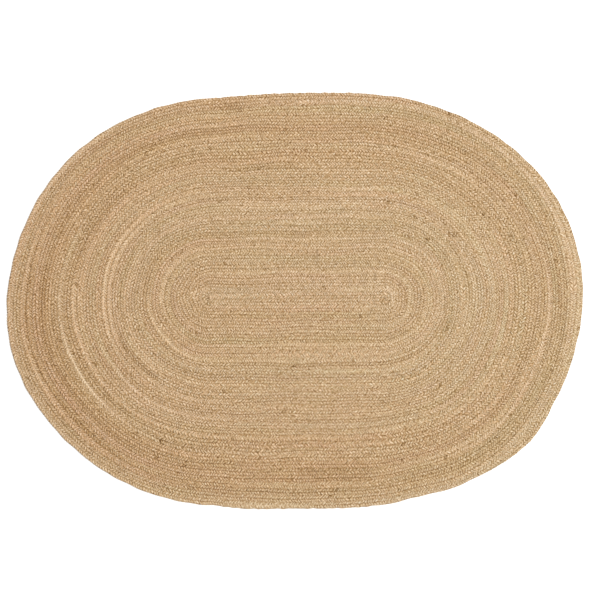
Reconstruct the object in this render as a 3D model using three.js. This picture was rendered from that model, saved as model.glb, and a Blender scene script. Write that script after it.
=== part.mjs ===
// An oval jute rug: one flat three-strand braid, coiled outward from the middle and sewn edge to edge.
// Millimetres, +Z up, with the origin at the middle of the underside. Seen from above the braid starts
// at the left end of the core, runs to the right and winds clockwise.
import * as THREE from "three";

// The braid was plaited in lengths and spliced end to end. Each length fills the coil out to a number of
// turns, and its turns are as wide as that plait.
const BRAID_LENGTHS = [
  { toTurn: 10.5, width: 25.1 },
  { toTurn: 17.0, width: 22.9 },
  { toTurn: 22.3, width: 23.1 },
  { toTurn: 26.4, width: 26.2 },
  { toTurn: 30.2, width: 25.3 },
  { toTurn: 34.5, width: 25.3 },
];
const THICKNESS = 10; // over a crest of the braid
const SEAM_HEIGHT = 6.8; // where two turns are sewn together
const RIM_HEIGHT = 5; // the rim's widest line, half way up the braid
const UNDERSIDE_INSET = 5; // the flat underside stops this far inside the rim

// The core is the line that the first pass of braid lies on, and its ends are what the turns bend round.
// They wander a little between the middle of the coil and the rim.
const CORE = { left: [-334, 13], right: [360, 13] };
const RIM_CORE = { left: [-330, 1], right: [322, 1] };

// Shares of a turn: a run is a straight side, and a bend goes round one end of the core.
const RUN = 0.2;
const BEND = 0.3;
const END_TURN = 33.45; // where the braid's outer end is tucked in, at the lower right
const TAPER = 0.03; // the share of a turn over which that end thins out

// The hand-sewn outline: how far the rim lies from the core line, clockwise from the start of the top run.
const OUTLINE = [
  { at: 0.0, reach: 808 },
  { at: 0.04, reach: 819 },
  { at: 0.08, reach: 827 },
  { at: 0.14, reach: 830 },
  { at: 0.18, reach: 828 },
  { at: 0.2, reach: 822 },
  { at: 0.23, reach: 811 },
  { at: 0.26, reach: 816 },
  { at: 0.3, reach: 833 },
  { at: 0.34, reach: 834 },
  { at: 0.37, reach: 825 },
  { at: 0.4, reach: 826 },
  { at: 0.42, reach: 840 },
  { at: 0.455, reach: 816 },
  { at: 0.48, reach: 805 },
  { at: 0.5, reach: 822 },
  { at: 0.54, reach: 832 },
  { at: 0.6, reach: 834 },
  { at: 0.66, reach: 834 },
  { at: 0.7, reach: 820 },
  { at: 0.74, reach: 809 },
  { at: 0.78, reach: 811 },
  { at: 0.82, reach: 827 },
  { at: 0.84, reach: 825 },
  { at: 0.88, reach: 808 },
  { at: 0.93, reach: 804 },
  { at: 0.97, reach: 800 },
];

// Stations are the cross sections that the solid is built on, the same number in each turn.
const RUN_STATIONS = 10;
const BEND_STATIONS = 30;
const TURN_STATIONS = 2 * (RUN_STATIONS + BEND_STATIONS);

// The first pass lies across the core line, so the two passes on either side of it meet edge to edge.
const START = (0.5 + RUN) / 2;

const lerp = THREE.MathUtils.lerp;

// How far a number of turns reaches from the core line, before the outline's unevenness. It is counted
// from a turn inside that line, because the first pass lies across it.
function coilReach(turns) {
  let from = -1;
  let reach = -BRAID_LENGTHS[0].width;
  for (const { toTurn, width } of BRAID_LENGTHS) {
    reach += Math.max(Math.min(turns, toTurn) - from, 0) * width;
    from = toTurn;
  }
  return reach;
}

// The turns between the core line and the rim at a share of a turn. There is one less past the braid's end.
function rimTurns(at) {
  const wholeTurns = at < END_TURN % 1 ? Math.floor(END_TURN) : Math.floor(END_TURN) - 1;
  return wholeTurns + at + 1 - START;
}

const SPREADS = OUTLINE.map(({ at, reach }) => ({ at, value: reach / coilReach(rimTurns(at)) }));

// How much the turns spread at a share of a turn: a smooth closed curve through the outline's rows.
function spread(at) {
  const count = SPREADS.length;
  const row = (i) => {
    const { at: share, value } = SPREADS[(i + count) % count];
    return { share: share + Math.floor(i / count), value };
  };
  const i = SPREADS.findLastIndex((r) => r.at <= at);
  const [before, from, to, after] = [row(i - 1), row(i), row(i + 1), row(i + 2)];
  const step = to.share - from.share;
  const t = (at - from.share) / step;
  const slopeFrom = (step * (to.value - before.value)) / (to.share - before.share);
  const slopeTo = (step * (after.value - from.value)) / (after.share - from.share);
  return (
    from.value * (2 * t ** 3 - 3 * t ** 2 + 1) +
    slopeFrom * (t ** 3 - 2 * t ** 2 + t) +
    to.value * (3 * t ** 2 - 2 * t ** 3) +
    slopeTo * (t ** 3 - t ** 2)
  );
}

// Where a share of a turn starts from on the core, from 0 at its left end to 1, and its outward angle.
function station(at) {
  if (at < RUN) return { along: at / RUN, angle: Math.PI / 2 };
  if (at < RUN + BEND) return { along: 1, angle: Math.PI * (0.5 - (at - RUN) / BEND) };
  if (at < 2 * RUN + BEND) return { along: 1 - (at - RUN - BEND) / RUN, angle: -Math.PI / 2 };
  return { along: 0, angle: -Math.PI * (0.5 + (at - 2 * RUN - BEND) / BEND) };
}

// The point that lies a number of turns out from the core line, less an inset, at a share of a turn.
// The coil starts out even and takes on the outline's shape as it grows.
function place(at, turns, height, inset = 0) {
  const { along, angle } = station(at);
  const grown = THREE.MathUtils.clamp(turns / END_TURN, 0, 1);
  const end = (side, axis) => lerp(CORE[side][axis], RIM_CORE[side][axis], grown);
  const reach = coilReach(turns) * lerp(1, spread(at), grown) - inset;
  return new THREE.Vector3(
    lerp(end("left", 0), end("right", 0), along) + reach * Math.cos(angle),
    lerp(end("left", 1), end("right", 1), along) + reach * Math.sin(angle),
    height,
  );
}

// Stations are numbered along the whole braid. This is the share of its turn that one stands at.
function stationShare(n) {
  const half = TURN_STATIONS / 2;
  const inHalf = n % half;
  const run = (RUN * Math.min(inHalf, RUN_STATIONS)) / RUN_STATIONS;
  const bend = (BEND * Math.max(inHalf - RUN_STATIONS, 0)) / BEND_STATIONS;
  return (n % TURN_STATIONS < half ? 0 : 0.5) + run + bend;
}

const END_BEND = ((END_TURN % 1) - RUN) / BEND; // how far round the first bend the braid ends
const LAST_STATION =
  Math.floor(END_TURN) * TURN_STATIONS + RUN_STATIONS + Math.round(END_BEND * BEND_STATIONS);
const TAPER_STATIONS = Math.round((TAPER / BEND) * BEND_STATIONS);

// The braid's inner edge at a station, in turns from the core line, and the share of its width there.
const innerTurns = (n) => Math.floor(n / TURN_STATIONS) + stationShare(n) - START;
const widthShare = (n) => THREE.MathUtils.clamp((LAST_STATION - n) / TAPER_STATIONS, 0, 1);

// A seam is the braid's inner edge and the outer edge of the turn before. The last turn of seams is the rim.
function seamTurns(n) {
  const before = n - TURN_STATIONS;
  return before < 0 ? innerTurns(n) : innerTurns(before) + widthShare(before);
}

// The seams' points. Round the first bend the braid pivots on one point, and then it comes back along its
// own edge, so those stations share points with the first run.
function addSeams(add) {
  const returned = 2 * RUN_STATIONS + BEND_STATIONS;
  const seams = [];
  for (let n = 0; n < LAST_STATION + TURN_STATIONS; n += 1) {
    if (n > RUN_STATIONS && n <= returned) {
      seams.push(seams[Math.min(RUN_STATIONS, returned - n)]);
    } else {
      const height = n < LAST_STATION ? SEAM_HEIGHT : RIM_HEIGHT;
      seams.push(add(place(stationShare(n), seamTurns(n), height)));
    }
  }
  seams.push(seams[LAST_STATION]);
  return seams;
}

// The line along the top of the braid. It sinks and runs out where the tapered end meets the rim.
function addCrests(add, seams) {
  const crests = [];
  for (let n = 0; n < LAST_STATION; n += 1) {
    const height = lerp(RIM_HEIGHT, THICKNESS, Math.sqrt(widthShare(n)));
    crests.push(add(place(stationShare(n), innerTurns(n) + widthShare(n) / 2, height)));
  }
  crests.push(seams[LAST_STATION]);
  return crests;
}

// The two slopes of each turn, and the round tip of the braid's first end inside the second bend.
function coverTop(face, seams, crests) {
  const slope = (inner, outer, n, ahead) => {
    face(inner[n], inner[n + 1], outer[n + 1 + ahead]);
    face(inner[n], outer[n + 1 + ahead], outer[n + ahead]);
  };
  for (let n = 0; n < LAST_STATION; n += 1) {
    slope(seams, crests, n, 0);
    slope(crests, seams, n, TURN_STATIONS);
  }
  for (let n = TURN_STATIONS - BEND_STATIONS; n < TURN_STATIONS; n += 1) {
    face(seams[n], crests[0], seams[n + 1]);
  }
}

// The rim rounds under to the flat underside.
function closeUnderneath(add, face, seams) {
  const corners = [];
  const under = [];
  for (let n = LAST_STATION; n < LAST_STATION + TURN_STATIONS; n += 1) {
    const corner = place(stationShare(n), seamTurns(n), 0, UNDERSIDE_INSET);
    corners.push(new THREE.Vector2(corner.x, corner.y));
    under.push(add(corner));
  }
  for (let i = 0; i < TURN_STATIONS; i += 1) {
    const next = (i + 1) % TURN_STATIONS;
    face(seams[LAST_STATION + i], seams[LAST_STATION + i + 1], under[next]);
    face(seams[LAST_STATION + i], under[next], under[i]);
  }
  for (const [a, b, c] of THREE.ShapeUtils.triangulateShape(corners, [])) {
    face(under[a], under[c], under[b]);
  }
}

function rugGeometry() {
  const points = [];
  const corners = [];
  const add = (point) => points.push(point) - 1;
  const face = (a, b, c) => {
    const thin = a === b || b === c || c === a; // where the taper or the first bend brings points together
    if (!thin) corners.push(a, b, c);
  };
  const seams = addSeams(add);
  const crests = addCrests(add, seams);
  coverTop(face, seams, crests);
  closeUnderneath(add, face, seams);

  const geometry = new THREE.BufferGeometry().setFromPoints(points);
  geometry.setIndex(corners);
  geometry.computeBoundingBox();
  const middle = geometry.boundingBox.getCenter(new THREE.Vector3());
  geometry.translate(-middle.x, -middle.y, 0);
  geometry.computeVertexNormals();
  return geometry;
}

// Undyed jute, matt and fibrous.
const jute = new THREE.MeshStandardMaterial({ color: 0xc4a47d, roughness: 0.95, metalness: 0 });
const rug = new THREE.Mesh(rugGeometry(), jute);
rug.name = "rug";

const object = new THREE.Group();
object.add(rug);

export default object;
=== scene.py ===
"""An oval jute rug: flat three-strand braid in six lengths, spliced, coiled and sewn edge to edge."""

import math

import bpy
import numpy as np
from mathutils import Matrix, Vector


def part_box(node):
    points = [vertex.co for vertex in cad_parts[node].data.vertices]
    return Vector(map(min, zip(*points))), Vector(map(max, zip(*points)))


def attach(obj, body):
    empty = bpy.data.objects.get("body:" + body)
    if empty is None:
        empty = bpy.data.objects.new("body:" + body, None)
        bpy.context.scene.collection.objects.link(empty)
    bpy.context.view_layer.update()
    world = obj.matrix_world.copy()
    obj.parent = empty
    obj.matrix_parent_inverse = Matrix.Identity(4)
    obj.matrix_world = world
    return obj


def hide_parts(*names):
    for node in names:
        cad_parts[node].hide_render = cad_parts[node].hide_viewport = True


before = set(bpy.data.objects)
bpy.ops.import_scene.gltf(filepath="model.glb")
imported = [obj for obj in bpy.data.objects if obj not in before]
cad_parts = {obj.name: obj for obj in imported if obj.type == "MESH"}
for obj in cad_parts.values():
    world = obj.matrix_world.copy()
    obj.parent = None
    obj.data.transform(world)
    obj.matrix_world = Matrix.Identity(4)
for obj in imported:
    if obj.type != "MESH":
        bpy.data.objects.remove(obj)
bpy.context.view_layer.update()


# The braid. Three thick strands of undyed jute are plaited flat and coiled outward from the middle, and each
# turn is sewn to the one before, edge to edge. The rug takes six lengths of 20 to 23 m, spliced end to end.

# Metres, with +Z up. A length fills the coil out to its to_turn, and a lobe is one strand crossing the face.
# Tone is how pale the jute is beside the rest, and warmth is how russet.
BRAID_LENGTHS = (
    {"to_turn": 10.5, "width": 0.0251, "lobe": 0.0106, "tone": 0.15, "warmth": 0.0},
    {"to_turn": 17.0, "width": 0.0229, "lobe": 0.0124, "tone": 0.0, "warmth": -0.1},
    {"to_turn": 22.3, "width": 0.0231, "lobe": 0.0124, "tone": -0.05, "warmth": 0.0},
    {"to_turn": 26.4, "width": 0.0262, "lobe": 0.0124, "tone": -0.3, "warmth": 0.3},
    {"to_turn": 30.2, "width": 0.0253, "lobe": 0.0112, "tone": -0.45, "warmth": 0.5},
    {"to_turn": 34.5, "width": 0.0253, "lobe": 0.0112, "tone": -0.35, "warmth": 0.2},
)
SPLICE = 0.04  # turns over which one length's lobes pass into the next one's
STRANDS = 3
THICKNESS = 0.010
MIDPLANE = THICKNESS / 2

# The core is the line that the first pass lies on. Its ends, left and right, are what the turns bend round,
# and they wander a little between the middle of the coil and the rim.
CORE = np.array(((-0.334, 0.013), (0.360, 0.013)))
RIM_CORE = np.array(((-0.330, 0.001), (0.322, 0.001)))

# Shares of a turn: a run is a straight side, and a bend goes round one end of the core.
RUN = 0.2
BEND = 0.3
SIDE_ENDS = (0, RUN, RUN + BEND, 2 * RUN + BEND, 1)
ALONG_CORE = (0, 1, 1, 0, 0)  # how far along the core a turn is at those ends, from left to right
OUTWARD = (90, 90, -90, -90, -270)  # and which way is outward there, in degrees
END_TURN = 33.45  # where the braid's outer end is tucked in
TAPER = 0.03  # the share of a turn over which that end thins out
START = (0.5 + RUN) / 2  # the first pass lies across the core line, so its inner edge starts this far inside
EYE = 0.06  # round the first bend the inner edge bunches up to this share of the width

# The hand-sewn outline: how far the rim lies from the core line, clockwise from the start of the top run.
OUTLINE = (
    {"at": 0.0, "reach": 0.808},
    {"at": 0.04, "reach": 0.819},
    {"at": 0.08, "reach": 0.827},
    {"at": 0.14, "reach": 0.830},
    {"at": 0.18, "reach": 0.828},
    {"at": 0.2, "reach": 0.822},
    {"at": 0.23, "reach": 0.811},
    {"at": 0.26, "reach": 0.816},
    {"at": 0.3, "reach": 0.833},
    {"at": 0.34, "reach": 0.834},
    {"at": 0.37, "reach": 0.825},
    {"at": 0.4, "reach": 0.826},
    {"at": 0.42, "reach": 0.840},
    {"at": 0.455, "reach": 0.816},
    {"at": 0.48, "reach": 0.805},
    {"at": 0.5, "reach": 0.822},
    {"at": 0.54, "reach": 0.832},
    {"at": 0.6, "reach": 0.834},
    {"at": 0.66, "reach": 0.834},
    {"at": 0.7, "reach": 0.820},
    {"at": 0.74, "reach": 0.809},
    {"at": 0.78, "reach": 0.811},
    {"at": 0.82, "reach": 0.827},
    {"at": 0.84, "reach": 0.825},
    {"at": 0.88, "reach": 0.808},
    {"at": 0.93, "reach": 0.804},
    {"at": 0.97, "reach": 0.800},
)

# The seams between turns wander, because no stitch pulls quite as hard as the last, and so does the rim, in
# shorter waves. The waves are counted in each turn.
SEAM_WANDER = 0.0014
SEAM_WAVES = (3.1, 5.9, 9.05, 12.9)
RIM_WANDER = 0.0006
RIM_WAVES = (41.3, 66.7, 97.1)


def coil_reach(turns):
    """How far a number of turns reaches from the core line, counted from one turn inside it."""
    begun = -1
    reach = np.full(np.shape(turns), -BRAID_LENGTHS[0]["width"])
    for length in BRAID_LENGTHS:
        reach += np.maximum(np.minimum(turns, length["to_turn"]) - begun, 0) * length["width"]
        begun = length["to_turn"]
    return reach


def rim_turns(at):
    """The turns between the core line and the rim at a share of a turn. There is one less past the end."""
    past_end = at >= END_TURN % 1
    return END_TURN // 1 - past_end + at + 1 - START


OUTLINE_AT = np.array([row["at"] for row in OUTLINE])
OUTLINE_SPREAD = np.array([row["reach"] / coil_reach(rim_turns(row["at"])) for row in OUTLINE])


def spread(at):
    """How much the turns spread at a share of a turn: a smooth closed curve through the outline's rows."""
    count = len(OUTLINE)
    first = np.searchsorted(OUTLINE_AT, at, side="right") - 1
    near = [first + step for step in (-1, 0, 1, 2)]
    at_before, at_from, at_to, at_after = (OUTLINE_AT[i % count] + i // count for i in near)
    before, start, end, after = (OUTLINE_SPREAD[i % count] for i in near)
    step = at_to - at_from
    t = (at - at_from) / step
    slope_from = step * (end - before) / (at_to - at_before)
    slope_to = step * (after - start) / (at_after - at_from)
    return (
        start * (2 * t**3 - 3 * t**2 + 1)
        + slope_from * (t**3 - 2 * t**2 + t)
        + end * (3 * t**2 - 2 * t**3)
        + slope_to * (t**3 - t**2)
    )


def wander(turns):
    """How far a seam or the rim strays outward. The core holds its place."""
    from_core = np.clip(turns - 1, 0, 1)
    to_rim = np.clip(rim_turns(END_TURN % 1) - turns, 0, 1)
    seam = sum(np.sin(2 * np.pi * wave * turns + wave) for wave in SEAM_WAVES)
    rim = sum(np.sin(2 * np.pi * wave * turns + wave) for wave in RIM_WAVES)
    return SEAM_WANDER * from_core * to_rim * seam + RIM_WANDER * (1 - to_rim) * rim


def place(at, turns):
    """The ground point that lies a number of turns out from the core line, at a share of a turn."""
    along = np.interp(at, SIDE_ENDS, ALONG_CORE)[:, None]
    angle = np.radians(np.interp(at, SIDE_ENDS, OUTWARD))
    grown = np.clip(turns / END_TURN, 0, 1)
    left, right = (CORE[i] + (RIM_CORE[i] - CORE[i]) * grown[:, None] for i in (0, 1))
    reach = coil_reach(turns) * (1 + (spread(at) - 1) * grown) + wander(turns)
    return left + (right - left) * along + reach[:, None] * np.stack((np.cos(angle), np.sin(angle)), 1)


def width_share(turns):
    """The share of its width that the braid has at a turn count: it thins out at the outer end."""
    return np.clip((END_TURN - turns) / TAPER, 0, 1)


def edges(turns):
    """The ground points of the braid's inner and outer edge at a turn count along it. Round the first bend
    the inner edge bunches up by one point, the pivot."""
    at = turns % 1
    inner = place(at, turns - START)
    outer = place(at, turns - START + width_share(turns))
    pivot = place(np.array([RUN]), np.array([RUN - START]))
    in_bend = np.clip((turns - RUN) / BEND, 0, 1)
    eye = EYE * np.sin(np.pi * in_bend)[:, None]
    bending = ((in_bend > 0) & (in_bend < 1))[:, None]
    return np.where(bending, pivot + (outer - pivot) * eye, inner), outer


# The coil is moved so that its rim has the same middle as the CAD solid's.
RIM_POINTS = 4000
rim_at = np.linspace(0, 1, RIM_POINTS, endpoint=False)
rim = place(rim_at, np.array([rim_turns(at) for at in rim_at]))
cad_low, cad_high = (np.array(corner[:2]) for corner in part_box("rug"))
to_frame = (cad_low + cad_high) / 2 - (rim.min(0) + rim.max(0)) / 2

# Turn counts are matched to lobe counts along the braid's middle line, in points about 2 mm apart. A length
# ends where that line has come out to its to_turn.
LINE_POINTS = 70000
turn_steps = np.linspace(0, END_TURN, LINE_POINTS)
middle_line = sum(edges(turn_steps)) / 2
step_lengths = np.hypot(*np.diff(middle_line, axis=0).T)
metres_along = np.concatenate(((0,), np.cumsum(step_lengths)))
end_turns = [length["to_turn"] + START - 0.5 for length in BRAID_LENGTHS]
end_turns[-1] = END_TURN
splice_turns = [end + side * SPLICE / 2 for end in end_turns[:-1] for side in (-1, 1)]
splice_lobes = [near["lobe"] for pair in zip(BRAID_LENGTHS, BRAID_LENGTHS[1:]) for near in pair]
lobe_sizes = np.interp(turn_steps, splice_turns, splice_lobes)
lobes_along = np.concatenate(((0,), np.cumsum(step_lengths / lobe_sizes[1:])))

# The strands weave from side to side and over and under, and this is the plait that they make. Across is in
# half widths of a turn, along is in lobes, and heights are off the braid's mid-plane.
USUAL_HALF_WIDTH = 0.0125
USUAL_LOBE = 0.0114
STRAND_REACH = 0.60  # how far the middle of a strand swings to each side
STRAND_HALF_WIDTH = 0.0048
STRAND_RISE = 0.0016  # how far it rises and sinks, over and under
STRAND_HALF_DEPTH = MIDPLANE - STRAND_RISE
STRAND_PHASE = 0.77  # lobes
STRAND_LEAN = math.radians(35)  # from straight across the braid
STRAND_POINTS = 1500
LOWEST = 0.0022  # squeezed by its neighbours, the face is never lower


def plait_height(across, along):
    """How far the top of the plait stands off its mid-plane. A strand swings across and back once in as many
    lobes as there are strands, and it is followed well past these lobes, both ways."""
    swing = np.linspace(-2 * np.pi, 4 * np.pi, STRAND_POINTS)
    height = np.full(across.shape, LOWEST)
    for strand in range(STRANDS):
        strand_along = STRAND_PHASE + strand - STRANDS * swing / (2 * np.pi)
        off_across = (across[..., None] - STRAND_REACH * np.sin(swing)) * USUAL_HALF_WIDTH
        off_along = (along[..., None] - strand_along) * USUAL_LOBE
        off = (off_across**2 + off_along**2) / STRAND_HALF_WIDTH**2
        surface = STRAND_RISE * np.sin(2 * swing) + STRAND_HALF_DEPTH * np.sqrt(np.maximum(1 - off, 0))
        height = np.maximum(height, np.where(off < 1, surface, LOWEST).max(-1))
    return height


# The grid of points over one lobe: rows run from one valley between lobes, up over the ridge, to the next.
# The outer half's columns give each row's place along, the inner half's lobes stand half a lobe further on,
# and the middle column zigzags where the halves meet.
LOBE_ROWS = 4
HALF_LOBE = LOBE_ROWS // 2
OUTER_COLUMNS = (
    {"across": 0.30, "along": (-0.07, 0.17, 0.42, 0.68)},
    {"across": 0.60, "along": (-0.18, 0.09, 0.36, 0.59)},
    {"across": 0.86, "along": (-0.44, -0.05, 0.22, 0.41)},
    {"across": 1.00, "along": (-0.53, -0.26, 0.02, 0.25)},
)
ZIGZAG = np.array((0.10, 0.0, -0.10, 0.0))
EDGE_BULGE = np.array((0.03, 0.07, 0.09, 0.07))  # how far each row's edge swells into the next turn
DRAWN_OUT = 0.25  # pulled along, the lobes lean this much more, in lobes, at the edge
MIDDLE = len(OUTER_COLUMNS)
COLUMNS = 2 * MIDDLE + 1

# Squeezed by the next turn or pulled tight, some parts keep only a share of the height that the plait gives.
SHOULDER = 0.80  # a lobe's outer part
EDGE = 0.52  # and its end, in the seam
TIGHT = 0.53  # the line where the halves meet
VALLEY = 0.75  # a valley between lobes

outer_across = np.array([column["across"] for column in OUTER_COLUMNS])
outer_along = np.array([column["along"] for column in OUTER_COLUMNS]).T
inner_along = np.concatenate((outer_along[HALF_LOBE:] - 0.5, outer_along[:HALF_LOBE] + 0.5))
cell_along = np.column_stack((inner_along[:, ::-1], np.arange(LOBE_ROWS) / LOBE_ROWS, outer_along))
cell_across = np.column_stack(
    (np.tile(-outer_across[::-1], (LOBE_ROWS, 1)), ZIGZAG, np.tile(outer_across, (LOBE_ROWS, 1)))
)
cell_across[:, 0] -= np.roll(EDGE_BULGE, HALF_LOBE)
cell_across[:, -1] += EDGE_BULGE

cell_height = plait_height(cell_across, cell_along)
cell_height[:, MIDDLE] *= TIGHT
cell_height[HALF_LOBE, :MIDDLE] *= VALLEY
cell_height[0, MIDDLE + 1 :] *= VALLEY
for side, beside, full in ((0, 1, 2), (-1, -2, -3)):
    cell_height[:, beside] = cell_height[:, full] * SHOULDER
    cell_height[:, side] = cell_height[:, full] * EDGE
cell_along -= DRAWN_OUT * np.abs(cell_across)

# The underside is out of sight, so a lobe there has only its valley and its ridge, and three columns. Its
# lobes lean the other way, since the strands cross back under.
UNDER_ROWS = 2
UNDER_ACROSS = np.array((-0.75, 0.0, 0.75))
UNDER_LAG = np.array((0.55, 1.23, 0.55))  # lobes
UNDER_RIDGE = 0.0048
UNDER_VALLEY = 0.0026
UNDER_MIDDLE = 0.0028
UNDER_COLUMNS = len(UNDER_ACROSS)
ROW_RATIO = LOBE_ROWS // UNDER_ROWS  # rows of the top beside one row of the underside
under_cell_depth = np.array(
    ((UNDER_RIDGE, UNDER_MIDDLE, UNDER_VALLEY), (UNDER_VALLEY, UNDER_MIDDLE, UNDER_RIDGE))
)

# No two lobes are alike. Each drift is how many lobes it takes to change, and its size. Tone and warmth drift
# along each strand, and the rest along the braid.
BRAID_SEED = 1665
TONE_DRIFTS = ((14, 0.12), (60, 0.12), (300, 0.14))
WARMTH_DRIFTS = ((9, 0.15), (50, 0.3), (300, 0.3))
ROSY_DRIFTS = ((9, 0.15), (50, 0.15), (200, 0.15))  # the braid's hue leans now to rose, now to green
HALF_DRIFTS = ((35, 0.15), (140, 0.25))  # one half of the braid can be paler than the other over stretches: tone, and painted light it catches
LIGHTENING_DRIFTS = ((25, 0.2), (80, 0.3))  # over long stretches a seam's or groove's line loses painted shade, at times to a painted highlight
LIFTS = ((23, 0.0004), (90, 0.0004))  # the braid rises and sinks along its length
SLIPS = ((2, 0.2), (5, 0.25), (12, 0.4))  # plaited by an uneven hand, lobes slip along by so many lobes
LOBE_TONE = 0.1
LOBE_WARMTH = 0.12
LOBE_FATNESS = 0.06
DARK_LOBES = {"share": 0.004, "tone": -2.5}
FADED = 0.7  # warmth that light has taken from the jute for each metre towards +X

# Towards a spot right of the middle the painted shade of the hollows is evened out, paler in the hollows and
# darker on the ridges, and less so further out.
EVENED_SHADE = {"share": 0.25, "at": (0.3, 0.0), "reach": 1.0}

# Some stretches of the coil came out paler or darker. They go by turn count along the braid.
STRETCHES = (
    {"from": 0.38, "to": 0.50, "tone": -1.0},
    {"from": 0.70, "to": 0.82, "tone": -0.8},
    {"from": 1.20, "to": 1.36, "tone": 0.7},
    {"from": 1.82, "to": 1.93, "tone": 0.6},
    {"from": 2.83, "to": 2.89, "tone": 0.6},
    {"from": 11.37, "to": 11.41, "tone": -1.1},
    {"from": 14.35, "to": 14.41, "tone": 0.7},
    {"from": 14.75, "to": 14.82, "tone": 0.9},
    {"from": 15.0, "to": 15.19, "tone": 0.6},
    {"from": 15.75, "to": 15.82, "tone": -1.0},
    {"from": 16.77, "to": 16.81, "tone": -0.9},
    {"from": 20.33, "to": 20.37, "tone": -0.6},
    {"from": 20.77, "to": 20.82, "tone": -0.7},
    {"from": 22.02, "to": 22.11, "tone": -0.7},
    {"from": 22.86, "to": 22.94, "tone": -0.7},
    {"from": 24.68, "to": 24.74, "tone": -0.6},
    {"from": 25.79, "to": 25.85, "tone": -0.7},
    {"from": 27.50, "to": 27.60, "tone": -0.7},
    {"from": 27.74, "to": 27.87, "tone": -0.6},
    {"from": 28.50, "to": 28.58, "tone": -0.6},
    {"from": 29.74, "to": 29.87, "tone": -0.7},
    {"from": 32.0, "to": 32.04, "tone": -0.9},
    {"from": 32.05, "to": 33.45, "tone": 0.3},
)
STRETCH_FADE = 0.01  # turns
SPARE_KNOTS = 3  # past the last lobe


def drift(reach, size, random):
    """For each lobe, a random curve of that size that takes a reach of so many lobes to change."""
    knots = size * random.standard_normal(int(lobe_count / reach) + SPARE_KNOTS)
    at = np.arange(lobe_count) / reach
    step = at.astype(int)
    share = at - step
    share = share * share * (3 - 2 * share)
    return knots[step] * (1 - share) + knots[step + 1] * share


random = np.random.default_rng(BRAID_SEED)
lobe_count = int(lobes_along[-1])
lobe_turns = np.interp(np.arange(lobe_count), lobes_along, turn_steps)
strand_tone = np.array([sum(drift(*row, random) for row in TONE_DRIFTS) for _ in range(STRANDS)])
strand_warmth = np.array([sum(drift(*row, random) for row in WARMTH_DRIFTS) for _ in range(STRANDS)])
for strand_fact, fact in ((strand_tone, "tone"), (strand_warmth, "warmth")):
    splice_values = [near[fact] for pair in zip(BRAID_LENGTHS, BRAID_LENGTHS[1:]) for near in pair]
    strand_fact += np.interp(lobe_turns, splice_turns, splice_values)
strand_warmth -= FADED * np.interp(lobe_turns, turn_steps, middle_line[:, 0])
for stretch in STRETCHES:
    rising = np.clip((lobe_turns - stretch["from"]) / STRETCH_FADE, 0, 1)
    falling = np.clip((stretch["to"] - lobe_turns) / STRETCH_FADE, 0, 1)
    strand_tone += stretch["tone"] * rising * falling

# Each lobe is the strand that crosses there. The halves, inner and outer, take the strands in turn.
halves = (2, lobe_count)
which = np.arange(lobe_count)
crossing = np.stack(((1 - which) % STRANDS, -which % STRANDS))
lobe_tone = strand_tone[crossing, which] + LOBE_TONE * random.standard_normal(halves)
# Each half drifts paler or darker: partly tone, partly painted light as if one half caught more light.
lobe_tone += np.stack([sum(drift(*row, random) for row in HALF_DRIFTS) for _ in range(2)])
lobe_tone += DARK_LOBES["tone"] * (random.random(halves) < DARK_LOBES["share"])
lobe_warmth = strand_warmth[crossing, which] + LOBE_WARMTH * random.standard_normal(halves)
lobe_fatness = 1 + LOBE_FATNESS * random.standard_normal(halves)
lobe_lift = sum(drift(*row, random) for row in LIFTS)
lobe_slip = sum(drift(*row, random) for row in SLIPS)
seam_lightening, groove_lightening = (
    np.maximum(sum(drift(*row, random) for row in LIGHTENING_DRIFTS), 0) for _ in range(2)
)
lobe_rosiness = np.tile(sum(drift(*row, random) for row in ROSY_DRIFTS), (2, 1))
lobe_inside = np.interp(lobe_turns - 1, turn_steps, lobes_along)  # the lobe count one turn further in
inner_seam_lightening = np.interp(lobe_inside, which, seam_lightening)

# Where everything lies. The first end is a round tip, so its rows start one lobe early, and the lobes lean
# fully from the third one on.
TIP_ANGLE = 0.93 * np.pi / 2
LEANING = 3


def leaning(lobes):
    """How fully the lobes lean, from 0 at the braid's ends to 1."""
    return np.clip(np.minimum(lobes, lobe_count - lobes) / LEANING, 0, 1)


def on_braid(lobes, across, height):
    """The points at lobe counts along the braid, places across it and heights off its mid-plane."""
    slip = np.interp(lobes, which, lobe_slip) * leaning(lobes)
    turns = np.interp(lobes + slip, lobes_along, turn_steps).ravel()
    inner, outer = edges(turns)
    round_tip = TIP_ANGLE * np.clip(-lobes, 0, 1).ravel()
    share = 0.5 + across.ravel() / 2 * np.cos(round_tip)
    ground = inner + (outer - inner) * share[:, None] + to_frame
    ground[:, 0] -= BRAID_LENGTHS[0]["width"] / 2 * np.sin(round_tip)
    thinning = np.cos(round_tip) * np.sqrt(width_share(turns))
    return np.column_stack((ground, MIDPLANE + height.ravel() * thinning))


rows = np.arange(-LOBE_ROWS, LOBE_ROWS * lobe_count + 1)
within = rows % LOBE_ROWS
row_lobes = (rows / LOBE_ROWS)[:, None]
row_along = row_lobes + (cell_along[within] - (within / LOBE_ROWS)[:, None]) * leaning(row_lobes)
row_across = cell_across[within]
inner_lobe = np.clip((rows - HALF_LOBE) // LOBE_ROWS, 0, lobe_count - 1)
outer_lobe = np.clip(rows // LOBE_ROWS, 0, lobe_count - 1)
row_height = cell_height[within] + lobe_lift[outer_lobe][:, None]
row_height[:, 1:MIDDLE] *= np.where(within == HALF_LOBE, 1, lobe_fatness[0, inner_lobe])[:, None]
row_height[:, MIDDLE + 1 : -1] *= np.where(within == 0, 1, lobe_fatness[1, outer_lobe])[:, None]
top_points = on_braid(row_along, row_across, row_height)

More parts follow.
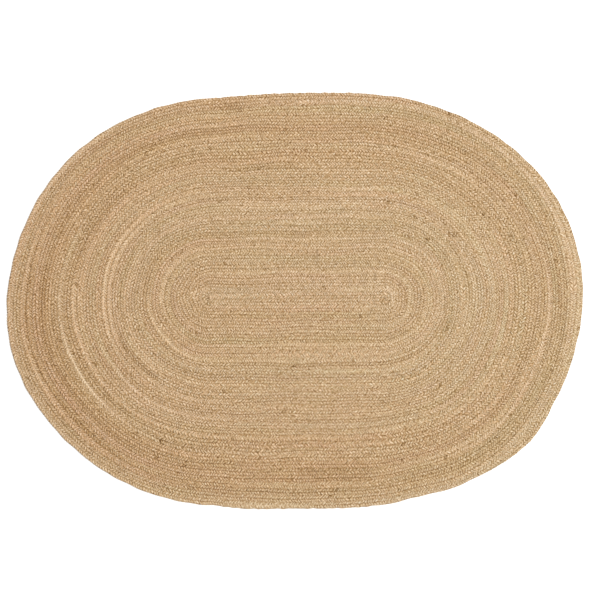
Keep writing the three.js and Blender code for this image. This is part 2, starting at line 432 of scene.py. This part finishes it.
under_rows = np.arange(-UNDER_ROWS, UNDER_ROWS * lobe_count + 1)
under_lobes = (under_rows / UNDER_ROWS)[:, None]
under_across = np.tile(UNDER_ACROSS, (len(under_rows), 1))
under_depth = under_cell_depth[under_rows % UNDER_ROWS]
under_points = on_braid(under_lobes - UNDER_LAG * leaning(under_lobes), under_across, -under_depth)

# Every point of the braid has a number: the top's points row by row, and then the underside's. Hollow is how
# deep it lies in the plait, from 0 on a high ridge, less the lightening there. The material darkens the
# colour by it, as painted shade in the hollows.
all_points = np.concatenate((top_points, under_points))
point_across = np.concatenate((row_across.ravel(), under_across.ravel()))
point_lobes = np.concatenate((np.repeat(row_lobes, COLUMNS), np.repeat(under_lobes, UNDER_COLUMNS)))
row_hollow_shade = 1 - cell_height[within] / MIDPLANE
# Lightening takes painted shade out of the seams and the groove, and where it is large it paints the line
# paler than the ridges, a painted highlight.
for column, lightening in ((0, inner_seam_lightening), (MIDDLE, groove_lightening), (-1, seam_lightening)):
    row_hollow_shade[:, column] -= lightening[outer_lobe]
point_hollow_shade = np.concatenate((row_hollow_shade.ravel(), 1 - under_depth.ravel() / MIDPLANE)).astype(np.float32)
# Near that spot the painted shade of the hollows is pulled toward its mean.
from_evened_shade = np.hypot(*(all_points[:, :2] - EVENED_SHADE["at"]).T)
shade_evening = EVENED_SHADE["share"] * np.clip(1 - from_evened_shade / EVENED_SHADE["reach"], 0, 1)
point_hollow_shade += (row_hollow_shade.mean() - point_hollow_shade) * shade_evening


def top_number(row, column):
    """The number of a point of the top."""
    return (row + LOBE_ROWS) * COLUMNS + column


def under_number(row, column):
    """The number of a point of the underside."""
    return len(top_points) + (row + UNDER_ROWS) * UNDER_COLUMNS + column


FAR_CORNERS = np.array((0, 1, 1, 0))  # which corners of a quad lie on its far row


def face_quads(first, last, lobe_rows, columns, number):
    """The quads of the top or the underside from lobe to lobe, each one's lobe and half, 0 inner or 1 outer,
    and its corners' places over the lobe, from one valley, at -0.5, to the next, at 0.5."""
    row, column = (grid.ravel() for grid in np.mgrid[first * lobe_rows : last * lobe_rows, 0 : columns - 1])
    near, far = number(row, column), number(row + 1, column)
    half = (column >= columns // 2).astype(int)
    from_valley = row - np.where(half, 0, lobe_rows // 2)
    lobe = np.clip(from_valley // lobe_rows, 0, lobe_count - 1)
    over = ((from_valley % lobe_rows)[:, None] + FAR_CORNERS) / lobe_rows - 0.5
    return np.stack((near, far, far + 1, near + 1), 1), lobe, half, over


def side_triangles(first, last):
    """The triangles from the top's edges down to the underside's, and over both ends, from lobe to lobe."""
    row = np.arange(first * UNDER_ROWS, last * UNDER_ROWS)
    found = []
    for column, under_column, turned in ((0, 0, True), (COLUMNS - 1, UNDER_COLUMNS - 1, False)):
        edge, halfway, ahead = (top_number(row * ROW_RATIO + step, column) for step in range(ROW_RATIO + 1))
        near, far = under_number(row, under_column), under_number(row + 1, under_column)
        sides = (edge, halfway, near), (halfway, far, near), (halfway, ahead, far)
        found += [side[::-1] if turned else side for side in sides]
    for end, turned in ((first, False), (last, True)):
        left, hub, right = (under_number(end * UNDER_ROWS, column) for column in range(UNDER_COLUMNS))
        ring = np.array([left, *(top_number(end * LOBE_ROWS, column) for column in range(COLUMNS)), right])
        fan = np.full(len(ring) - 1, hub), ring[:-1], ring[1:]
        found.append(fan[::-1] if turned else fan)
    return np.concatenate([np.stack(corners, 1) for corners in found])


# The strand map runs along the strand in X and across it in Y, in metres, for the patterns of the yarn. No
# two lobes have the same piece of it.
LOBE_SKIP = 0.0371  # from one lobe's piece to the next one's


def strand_places(corners, lobe, half, over):
    """The strand map's places for the corners of quads."""
    run = np.abs(point_across[corners]) * USUAL_HALF_WIDTH / math.cos(STRAND_LEAN)
    skipped = (lobe + half / 2) * LOBE_SKIP
    return np.stack((run + skipped[:, None], over * 2 * STRAND_HALF_WIDTH), -1)


# A baked picture of a length is laid out in strips, one under another, with the top beside the underside.
BAKE_MAP = "OFBake"
BAKE_STRIPS = 21
BAKE_GAP = 0.03  # the share of a strip that is left clear along each side
BAKE_TOP = 0.52  # the top's share of the rest
WIDEST = 1 + EDGE_BULGE.max()


def bake_places(corners, first, last, on_top):
    """The bake map's places for the corners of a length's faces, on its top or below."""
    lobes = point_lobes[corners] - first
    strip_lobes = math.ceil((last - first) / BAKE_STRIPS)
    strip = np.floor(lobes.min(1) / strip_lobes)[:, None]
    side = (1 + point_across[corners] / WIDEST) / 2
    side = side * BAKE_TOP if on_top else BAKE_TOP + side * (1 - BAKE_TOP)
    in_strips = strip + BAKE_GAP + (1 - 2 * BAKE_GAP) * side
    return np.stack((lobes / strip_lobes - strip, in_strips / BAKE_STRIPS), -1)


def are_creases(ends):
    """Which edges of a mesh, by the numbers of their ends, are creases. The valleys between lobes, the line
    between the halves and the braid's edges are."""
    creases = np.zeros(len(ends), bool)
    for first_number, last_number, columns, lobe_rows in (
        (0, len(top_points), COLUMNS, LOBE_ROWS),
        (len(top_points), len(all_points), UNDER_COLUMNS, UNDER_ROWS),
    ):
        on_face = ((ends >= first_number) & (ends < last_number)).all(1)
        row = (ends - first_number) // columns % lobe_rows
        column = (ends - first_number) % columns
        outer_valley = (row == 0).all(1) & (column >= columns // 2).all(1)
        inner_valley = (row == lobe_rows // 2).all(1) & (column <= columns // 2).all(1)
        along_line = (column % (columns // 2) == 0).all(1) & (column[:, 0] == column[:, 1])
        creases |= on_face & (outer_valley | inner_valley | along_line)
    return creases


def braid_length(name, first, last, material):
    """One length of braid, from one lobe count to another, as a closed mesh."""
    top, top_lobe, top_half, top_over = face_quads(first, last, LOBE_ROWS, COLUMNS, top_number)
    under, under_lobe, under_half, under_over = face_quads(
        first, last, UNDER_ROWS, UNDER_COLUMNS, under_number
    )
    under = under[:, ::-1]
    quads = np.concatenate((top, under))
    sides = side_triangles(first, last)
    side_lobe = np.clip(point_lobes[sides[:, 0]].astype(int), 0, lobe_count - 1)
    side_half = (point_across[sides].mean(1) > 0).astype(int)

    used, corners = np.unique(np.concatenate((quads.ravel(), sides.ravel())), return_inverse=True)
    starts = np.concatenate((np.arange(len(quads)) * 4, quads.size + np.arange(len(sides)) * 3))
    mesh = bpy.data.meshes.new(name)
    mesh.vertices.add(len(used))
    mesh.vertices.foreach_set("co", all_points[used].ravel())
    mesh.loops.add(len(corners))
    mesh.loops.foreach_set("vertex_index", corners.astype(np.int32))
    mesh.polygons.add(len(starts))
    mesh.polygons.foreach_set("loop_start", starts.astype(np.int32))
    mesh.update(calc_edges=True)

    strand_map = (
        strand_places(top, top_lobe, top_half, top_over),
        strand_places(under, under_lobe, under_half, under_over),
        np.stack((point_lobes[sides] * USUAL_LOBE, point_across[sides] * USUAL_HALF_WIDTH), -1),
    )
    bake_map = (
        bake_places(top, first, last, True),
        bake_places(under, first, last, False),
        bake_places(sides, first, last, False),
    )
    for map_name, parts in (("strand", strand_map), (BAKE_MAP, bake_map)):
        places = np.concatenate([part.reshape(-1, 2) for part in parts]).astype(np.float32)
        mesh.uv_layers.new(name=map_name).uv.foreach_set("vector", places.ravel())
    face_half = np.concatenate((top_half, under_half, side_half))
    face_lobe = np.concatenate((top_lobe, under_lobe, side_lobe))
    for fact, of_lobes in (("tone", lobe_tone), ("warmth", lobe_warmth), ("rosiness", lobe_rosiness)):
        values = of_lobes[face_half, face_lobe].astype(np.float32)
        mesh.attributes.new(fact, "FLOAT", "FACE").data.foreach_set("value", values)
    mesh.attributes.new("hollow_shade", "FLOAT", "POINT").data.foreach_set("value", point_hollow_shade[used])

    ends = np.empty(2 * len(mesh.edges), np.int32)
    mesh.edges.foreach_get("vertices", ends)
    creases = are_creases(used[ends].reshape(-1, 2))
    mesh.attributes.new("sharp_edge", "BOOLEAN", "EDGE").data.foreach_set("value", creases)
    mesh.materials.append(material)

    piece = bpy.data.objects.new(name, mesh)
    bpy.context.collection.objects.link(piece)
    return piece


def linear(hex_colour):
    """An sRGB hex colour as the linear numbers that shaders take."""
    channels = [int(hex_colour[i : i + 2], 16) / 255 for i in (1, 3, 5)]
    return [c / 12.92 if c <= 0.04045 else ((c + 0.055) / 1.055) ** 2.4 for c in channels] + [1.0]


def add_node(tree, kind, settings=None, inputs=None):
    """Adds a node with its settings, and its inputs as plain values or as links from other nodes' outputs."""
    node = tree.nodes.new(kind)
    for name, value in (settings or {}).items():
        setattr(node, name, value)
    for name, value in (inputs or {}).items():
        if isinstance(value, bpy.types.NodeSocket):
            tree.links.new(value, node.inputs[name])
        else:
            node.inputs[name].default_value = value
    return node


# Raw jute: bast fibre spun into soft yarns, four of them side by side in each strand, undyed and unbleached.
# It is matt and straw coloured, and the eye sees fibres along every strand, dark bark flecks and shade in the
# hollows of the plait, much of it painted into the colour, and no gloss.
JUTE_SURFACE = {"Roughness": 0.9, "Specular IOR Level": 0.2, "Sheen Weight": 0.2, "Sheen Roughness": 0.6}
JUTE_SHADES = (
    {"at": 0.0, "hex": "#603f15"},
    {"at": 0.25, "hex": "#8c6a3b"},
    {"at": 0.5, "hex": "#b3966e"},
    {"at": 0.75, "hex": "#ccb192"},
    {"at": 1.0, "hex": "#dfccb1"},
)
FADED_TINT, RUSSET_TINT = "#f4fafc", "#fff4e8"
GREEN_TINT, ROSY_TINT = "#f6fff6", "#fff6ff"
TINT_WEIGHT = 0.3
BARK = "#5c4128"

# Marks along the strand, by length and breadth. A real fibre bundle is 0.1 mm across, too fine to show, so
# it is drawn coarser. Tufts are matted or rubbed fibre, paler or darker, and flecks are bark.
FIBRES = {"run": 0.009, "breadth": 0.0006, "detail": 2.0}
TUFTS = {"run": 0.010, "breadth": 0.0030, "detail": 1.0}
FLECKS = {"run": 0.006, "breadth": 0.0016, "detail": 1.0}
FLECK_RARITY = (0.69, 0.77)  # the noise values over which a fleck comes up
FLECK_STRENGTH = 0.6

YARNS = 4  # in a strand
YARN = 2 * STRAND_HALF_WIDTH / YARNS
YARN_TWIST = 0.0036  # a yarn's fibres wind once round it in about this run
TWIST_RELIEF = 0.12  # beside the yarn's own roundness
FIBRE_RELIEF = 0.9
RELIEF = 0.0006  # how high the whole of it stands
RELIEF_STRENGTH = 0.7

# A point's place on the ramp of shades is the plain one, and each of these moves it up or down. The hollows'
# weight paints shade into the colour, darker the deeper a point lies.
PLAIN_SHADE = -0.37
TONE_WEIGHT = 0.10
HOLLOW_SHADE_WEIGHT = -0.72
FIBRE_WEIGHT = 0.30
TUFT_WEIGHT = 1.85
# painted shade: darker in the grooves between yarns, paler along their middles
YARN_GROOVE_SHADE_WEIGHT = 0.08

# The sockets of a Mix node that are for colours.
FACTOR, COLOUR_A, COLOUR_B, MIXED = 0, 6, 7, 2


def jute_material(name):
    """Raw jute, from the strand map and the facts that each mesh holds."""
    material = bpy.data.materials.new(name)
    material.use_nodes = True
    tree = material.node_tree
    shader = tree.nodes["Principled BSDF"]
    for socket, value in JUTE_SURFACE.items():
        shader.inputs[socket].default_value = value

    tone, warmth, rosiness, hollow_shade = (
        add_node(tree, "ShaderNodeAttribute", {"attribute_name": fact}).outputs["Fac"]
        for fact in ("tone", "warmth", "rosiness", "hollow_shade")
    )
    strand = add_node(tree, "ShaderNodeUVMap", {"uv_map": "strand"}).outputs["UV"]
    along, across = add_node(tree, "ShaderNodeSeparateXYZ", None, {"Vector": strand}).outputs[:2]

    # Noise drawn out along the strand gives the fibres, the tufts and the flecks.
    noises = []
    for marks in (FIBRES, TUFTS, FLECKS):
        scale = (1 / marks["run"], 1 / marks["breadth"], 1)
        drawn_out = add_node(tree, "ShaderNodeVectorMath", {"operation": "MULTIPLY"}, {0: strand, 1: scale})
        noise = add_node(
            tree,
            "ShaderNodeTexNoise",
            None,
            {"Vector": drawn_out.outputs[0], "Scale": 1.0, "Detail": marks["detail"]},
        )
        noises.append(noise.outputs["Fac"])
    fibres, tufts, flecks = noises

    # The roundness of each yarn, the twist of its fibres, and the fibres themselves stand up in relief.
    from_groove = add_node(tree, "ShaderNodeMath", {"operation": "PINGPONG"}, {0: across, 1: YARN / 2})
    rounding = add_node(
        tree, "ShaderNodeMath", {"operation": "MULTIPLY"}, {0: from_groove.outputs[0], 1: 2 / YARN}
    )
    yarn_round = rounding.outputs[0]
    slanting = add_node(tree, "ShaderNodeMath", {"operation": "ADD"}, {0: along, 1: across})
    turned = add_node(
        tree,
        "ShaderNodeMath",
        {"operation": "MULTIPLY"},
        {0: slanting.outputs[0], 1: 2 * math.pi / YARN_TWIST},
    )
    twist = add_node(tree, "ShaderNodeMath", {"operation": "SINE"}, {0: turned.outputs[0]}).outputs[0]
    relief = yarn_round
    for fact, weight in ((twist, TWIST_RELIEF), (fibres, FIBRE_RELIEF)):
        added = add_node(
            tree, "ShaderNodeMath", {"operation": "MULTIPLY_ADD"}, {0: fact, 1: weight, 2: relief}
        )
        relief = added.outputs[0]
    bump = add_node(
        tree, "ShaderNodeBump", None, {"Height": relief, "Distance": RELIEF, "Strength": RELIEF_STRENGTH}
    )
    tree.links.new(bump.outputs["Normal"], shader.inputs["Normal"])

    # Painted shade: the hollows darken deep points of the plait, and the yarns' roundness darkens the grooves
    # between yarns.
    shade = PLAIN_SHADE
    for fact, weight in (
        (tone, TONE_WEIGHT),
        (hollow_shade, HOLLOW_SHADE_WEIGHT),
        (fibres, FIBRE_WEIGHT),
        (tufts, TUFT_WEIGHT),
        (yarn_round, YARN_GROOVE_SHADE_WEIGHT),
    ):
        added = add_node(
            tree, "ShaderNodeMath", {"operation": "MULTIPLY_ADD"}, {0: fact, 1: weight, 2: shade}
        )
        shade = added.outputs[0]
    ramp = add_node(tree, "ShaderNodeValToRGB", None, {"Fac": shade})
    stops = ramp.color_ramp.elements
    while len(stops) < len(JUTE_SHADES):
        stops.new(0.5)
    for stop, row in zip(stops, JUTE_SHADES):
        stop.position = row["at"]
        stop.color = linear(row["hex"])

    # Warmth and rosiness each tint the shade faintly, between a tint for little of it and one for much.
    colour = ramp.outputs["Color"]
    for fact, low_tint, high_tint in ((warmth, FADED_TINT, RUSSET_TINT), (rosiness, GREEN_TINT, ROSY_TINT)):
        leaning_high = add_node(
            tree,
            "ShaderNodeMath",
            {"operation": "MULTIPLY_ADD", "use_clamp": True},
            {0: fact, 1: TINT_WEIGHT, 2: 0.5},
        )
        tint = add_node(
            tree,
            "ShaderNodeMix",
            {"data_type": "RGBA"},
            {FACTOR: leaning_high.outputs[0], COLOUR_A: linear(low_tint), COLOUR_B: linear(high_tint)},
        )
        tinted = add_node(
            tree,
            "ShaderNodeMix",
            {"data_type": "RGBA", "blend_type": "MULTIPLY"},
            {FACTOR: 1.0, COLOUR_A: colour, COLOUR_B: tint.outputs[MIXED]},
        )
        colour = tinted.outputs[MIXED]

    fleck = add_node(
        tree,
        "ShaderNodeMapRange",
        None,
        {"Value": flecks, "From Min": FLECK_RARITY[0], "From Max": FLECK_RARITY[1], "To Max": FLECK_STRENGTH},
    )
    flecked = add_node(
        tree,
        "ShaderNodeMix",
        {"data_type": "RGBA"},
        {FACTOR: fleck.outputs["Result"], COLOUR_A: colour, COLOUR_B: linear(BARK)},
    )
    tree.links.new(flecked.outputs[MIXED], shader.inputs["Base Color"])
    return material


# The first length starts one lobe early, with the round tip.
jute = jute_material("raw_jute")
end_lobes = np.interp(end_turns, turn_steps, lobes_along).astype(int)
first_lobes = (-1, *end_lobes[:-1])
metres = np.diff(np.interp((0, *end_turns), turn_steps, metres_along))
for number, (length, first, last, long) in enumerate(
    zip(BRAID_LENGTHS, first_lobes, end_lobes, metres), start=1
):
    piece = braid_length(f"braid_length_{number}", first, last, jute)
    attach(piece, "root")
    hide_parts("rug")


# Stray fibres. Jute sheds, so here and there a loose fibre has worked out of the plait and lies curled on it.
# Each is a thin closed tube of three sides, and all of them are one mesh. They have the raw jute's look.
STRAY_SEED = 2300
STRAY_COUNT = 700
STRAY_LENGTHS = (0.012, 0.040)
STRAY_RADIUS = 0.00016
STRAY_TAPER = 0.7  # the share of that radius that is gone at the tips
STRAY_CURL = 1.3  # radians that its heading strays by from end to end
STRAY_HOVER = (0.0002, 0.0020)
STRAY_TONE = (1.0, 0.8)  # most are paler than the braid
STRAY_STEPS = 5
STRAY_SIDES = 3
BARE_TURNS = 2  # the last turns of braid have none, so that none hangs over the rim

random = np.random.default_rng(STRAY_SEED)
one_each = (STRAY_COUNT, 1)
last_row = int(np.interp(END_TURN - BARE_TURNS, turn_steps, lobes_along)) * LOBE_ROWS
on_row = random.integers(LOBE_ROWS * LEANING, last_row, STRAY_COUNT)
on_column = random.integers(1, COLUMNS - 1, STRAY_COUNT)
steps = np.linspace(0, 1, STRAY_STEPS)
heading = random.uniform(0, 2 * np.pi, one_each) + random.uniform(-STRAY_CURL, STRAY_CURL, one_each) * steps
step_length = random.uniform(*STRAY_LENGTHS, one_each) / (STRAY_STEPS - 1)
hover = random.uniform(*STRAY_HOVER, one_each) * np.sin(np.pi * steps)
level = np.zeros(heading.shape)
forward = np.stack((np.cos(heading), np.sin(heading), level), -1)
sideways = np.stack((-np.sin(heading), np.cos(heading), level), -1)
middle = np.cumsum(forward * step_length[..., None], axis=1)
middle[..., :2] += all_points[top_number(on_row, on_column), None, :2]
middle[..., 2] = THICKNESS + hover
round_angle = 2 * np.pi * np.arange(STRAY_SIDES) / STRAY_SIDES
upward = np.array((0, 0, 1))
around = np.cos(round_angle)[:, None] * sideways[:, :, None] + np.sin(round_angle)[:, None] * upward
radius = STRAY_RADIUS * (1 - STRAY_TAPER * np.abs(2 * steps - 1))
tube = middle[:, :, None] + radius[:, None, None] * around

side = np.arange(STRAY_SIDES)
ring_start = np.arange(STRAY_STEPS - 1)[:, None] * STRAY_SIDES
near = ring_start + side
beside = ring_start + (side + 1) % STRAY_SIDES
walls = np.stack((near, beside, beside + STRAY_SIDES, near + STRAY_SIDES), -1).reshape(-1, 4)
tip = side + (STRAY_STEPS - 1) * STRAY_SIDES
tube_faces = [*walls.tolist(), side[::-1].tolist(), tip.tolist()]
tube_points = STRAY_STEPS * STRAY_SIDES
faces = [
    [corner + fibre * tube_points for corner in face]
    for fibre in range(STRAY_COUNT)
    for face in tube_faces
]

mesh = bpy.data.meshes.new("stray_fibres")
mesh.from_pydata(tube.reshape(-1, 3), [], faces)
mesh.shade_smooth()
mesh.uv_layers.new(name="strand")
shades = np.repeat(random.normal(*STRAY_TONE, STRAY_COUNT), len(tube_faces)).astype(np.float32)
mesh.attributes.new("tone", "FLOAT", "FACE").data.foreach_set("value", shades)
mesh.materials.append(jute)
stray_fibres = bpy.data.objects.new("stray_fibres", mesh)
bpy.context.collection.objects.link(stray_fibres)
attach(stray_fibres, "root")


# The floor. A plain studio floor, far wider than the rug. Its matt paint is a pale, slightly warm white that
# shows no gloss.
FLOOR_HALF_SIZE = 15.0
FLOOR_PAINT = "#f4f3f1"
FLOOR_ROUGHNESS = 0.8

mesh = bpy.data.meshes.new("floor")
floor_corners = [
    (x * FLOOR_HALF_SIZE, y * FLOOR_HALF_SIZE, 0) for x, y in ((-1, -1), (1, -1), (1, 1), (-1, 1))
]
mesh.from_pydata(floor_corners, [], [(0, 1, 2, 3)])
paint = bpy.data.materials.new("matt_floor_paint")
paint.use_nodes = True
paint_shader = paint.node_tree.nodes["Principled BSDF"]
paint_shader.inputs["Roughness"].default_value = FLOOR_ROUGHNESS
paint_shader.inputs["Base Color"].default_value = linear(FLOOR_PAINT)
mesh.materials.append(paint)
floor = bpy.data.objects.new("floor", mesh)
bpy.context.collection.objects.link(floor)


# The light. A white room gives most of it. One large soft box, high up past the rug's right end, gives the
# lobes their soft shading.
ROOM_STRENGTH = 0.66
SOFT_BOX_AT = (3.4, 1.0, 6.6)
SOFT_BOX_SIZE = 3.5
SOFT_BOX_WATTS = 580

world = bpy.data.worlds.new("white_room")
world.use_nodes = True
room = world.node_tree.nodes["Background"]
room.inputs["Color"].default_value = (1, 1, 1, 1)
room.inputs["Strength"].default_value = ROOM_STRENGTH
bpy.context.scene.world = world

soft_box = bpy.data.objects.new("soft_box", bpy.data.lights.new("soft_box", "AREA"))
soft_box.data.size = SOFT_BOX_SIZE
soft_box.data.energy = SOFT_BOX_WATTS
soft_box.location = SOFT_BOX_AT
to_rug = -np.array(SOFT_BOX_AT)
soft_box.rotation_euler = (
    math.atan2(math.hypot(to_rug[0], to_rug[1]), -to_rug[2]),
    0,
    math.atan2(to_rug[1], to_rug[0]) - math.pi / 2,
)
bpy.context.collection.objects.link(soft_box)


# The camera. It looks straight down, and a pixel of its 591 is 4 mm of the rug's top. It stands a little to
# the right and up from the rug's middle, so that the rug lies in the frame as it does in the photo.
PIXEL = 0.004
FRAME_PIXELS = 591
LENS = 50  # millimetres, like the sensor
SENSOR = 36
CAMERA_X, CAMERA_Y = 0.0024, 0.0212

camera = bpy.data.objects.new("camera", bpy.data.cameras.new("camera"))
camera.data.lens = LENS
camera.data.sensor_width = SENSOR
camera.location = (CAMERA_X, CAMERA_Y, THICKNESS + PIXEL * FRAME_PIXELS * LENS / SENSOR)
bpy.context.collection.objects.link(camera)
bpy.context.scene.camera = camera
bpy.context.scene.view_settings.view_transform = "Standard"
